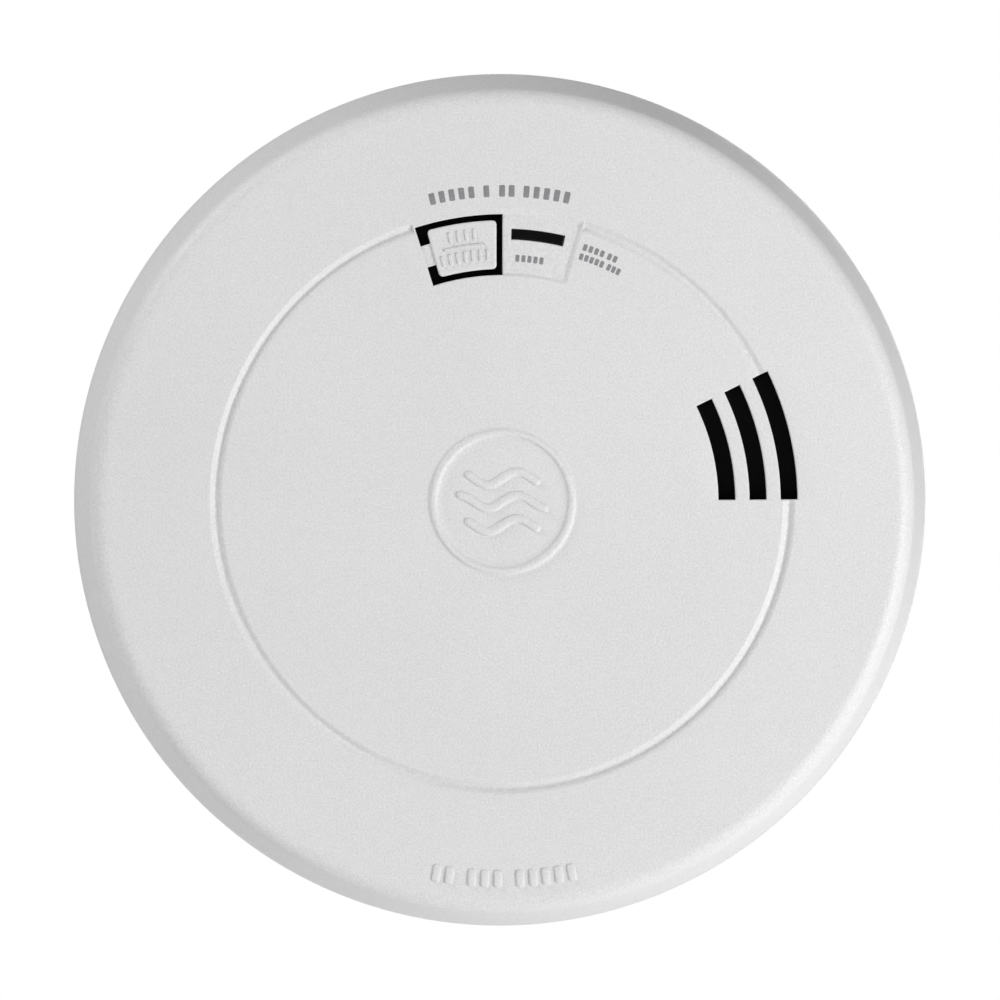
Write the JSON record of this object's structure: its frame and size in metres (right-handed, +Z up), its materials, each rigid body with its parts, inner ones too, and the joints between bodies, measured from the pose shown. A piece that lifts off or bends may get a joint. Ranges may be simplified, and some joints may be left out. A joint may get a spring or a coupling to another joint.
{
  "type": "smoke and carbon monoxide alarm",
  "caption": "Round slim wall alarm with a test button flap, a smoked indicator bar, horn slots, a side smoke inlet and a twist-off mounting bracket.",
  "frame": {"origin": "centre of the bracket on the wall face, midway between the two screw slots", "axes": "-Y out of the wall towards the face, +Z up the wall, +X to the right as seen from the front"},
  "size_m": [0.147, 0.0363, 0.147],
  "materials": {
    "white_plastic": "fine moulded grain",
    "bracket_plastic": "plain moulded",
    "black_plastic": "satin",
    "smoked_lens": "polished, smoked",
    "label_paper": "coated",
    "screw_steel": "zinc plated",
    "board_laminate": "solder mask",
    "chip_black": "moulded epoxy",
    "capacitor_sleeve": "shrink sleeve",
    "green_lamp": "clear tinted",
    "red_lamp": "clear tinted",
    "amber_lamp": "clear tinted",
    "sensor_lens": "clear tinted",
    "sheet_steel": "tinned",
    "screen_steel": "etched mesh",
    "gold_pins": "gold flash",
    "horn_brass": "rolled",
    "piezo_ceramic": "silvered",
    "gasket_foam": "closed-cell foam",
    "cell_wrap": "shrink wrap",
    "natural_plastic": "natural nylon",
    "red_insulation": "wire insulation",
    "black_insulation": "wire insulation",
    "orange_plastic": "moulded"
  },
  "bodies": {
    "bracket": {"mounting_bracket": "bracket_plastic", "locking_pins": "bracket_plastic"},
    "alarm": {"rear_housing": "white_plastic", "vent_ring": "white_plastic", "inlet_screen": "screen_steel", "front_cover": "white_plastic", "button_hinge": "white_plastic", "indicator_lens": "smoked_lens", "light_baffle": "black_plastic", "rating_label": "label_paper", "case_screws": "screw_steel", "board_screws": "screw_steel", "circuit_board": "board_laminate", "microcontroller": "chip_black", "horn_driver": "chip_black", "boost_inductor": "chip_black", "capacitors": "capacitor_sleeve", "chip_resistors": "chip_black", "green_led": "green_lamp", "red_led": "red_lamp", "amber_led": "amber_lamp", "switch_body": "black_plastic", "chamber_base": "black_plastic", "chamber_vanes": "black_plastic", "chamber_screen": "screen_steel", "chamber_cap": "black_plastic", "infrared_emitter": "sensor_lens", "photodiode": "sensor_lens", "photodiode_shield": "sheet_steel", "gas_cell": "sheet_steel", "gas_cell_cap": "black_plastic", "gas_cell_pins": "gold_pins", "horn_housing": "black_plastic", "horn_disc": "horn_brass", "horn_ceramic": "piezo_ceramic", "horn_contacts": "gold_pins", "horn_gasket": "gasket_foam", "battery_cells": "cell_wrap", "battery_cradle": "natural_plastic", "battery_tabs": "sheet_steel", "battery_lead_red": "red_insulation", "battery_lead_black": "black_insulation", "battery_plug": "natural_plastic", "power_switch_body": "black_plastic"},
    "button": {"test_button": "white_plastic"},
    "plunger": {"switch_plunger": "natural_plastic"},
    "power_slide": {"power_switch_knob": "orange_plastic"}
  },
  "joints": [
    {"name": "alarm_twist", "type": "hinge", "parent": "bracket", "child": "alarm", "pos_m": [0, 0, 0], "axis": [0, -1, 0], "range_deg": [0, 12]},
    {"name": "button_press", "type": "hinge", "parent": "alarm", "child": "button", "pos_m": [-0.01252, -0.0351, 0.04228], "axis": [-0.284, 0, 0.9588], "range_deg": [0, 3.5], "stiffness_Nm_per_rad": 0.6},
    {"name": "plunger_travel", "type": "slide", "parent": "alarm", "child": "plunger", "axis": [0, 1, 0], "range_m": [0, 0.0006]},
    {"name": "power_slide_travel", "type": "slide", "parent": "alarm", "child": "power_slide", "axis": [1, 0, 0], "range_m": [0, 0.004]}
  ],
  "couplings": [
    {"joint": "plunger_travel", "follows": "button_press", "m_per_rad": 0.009}
  ]
}
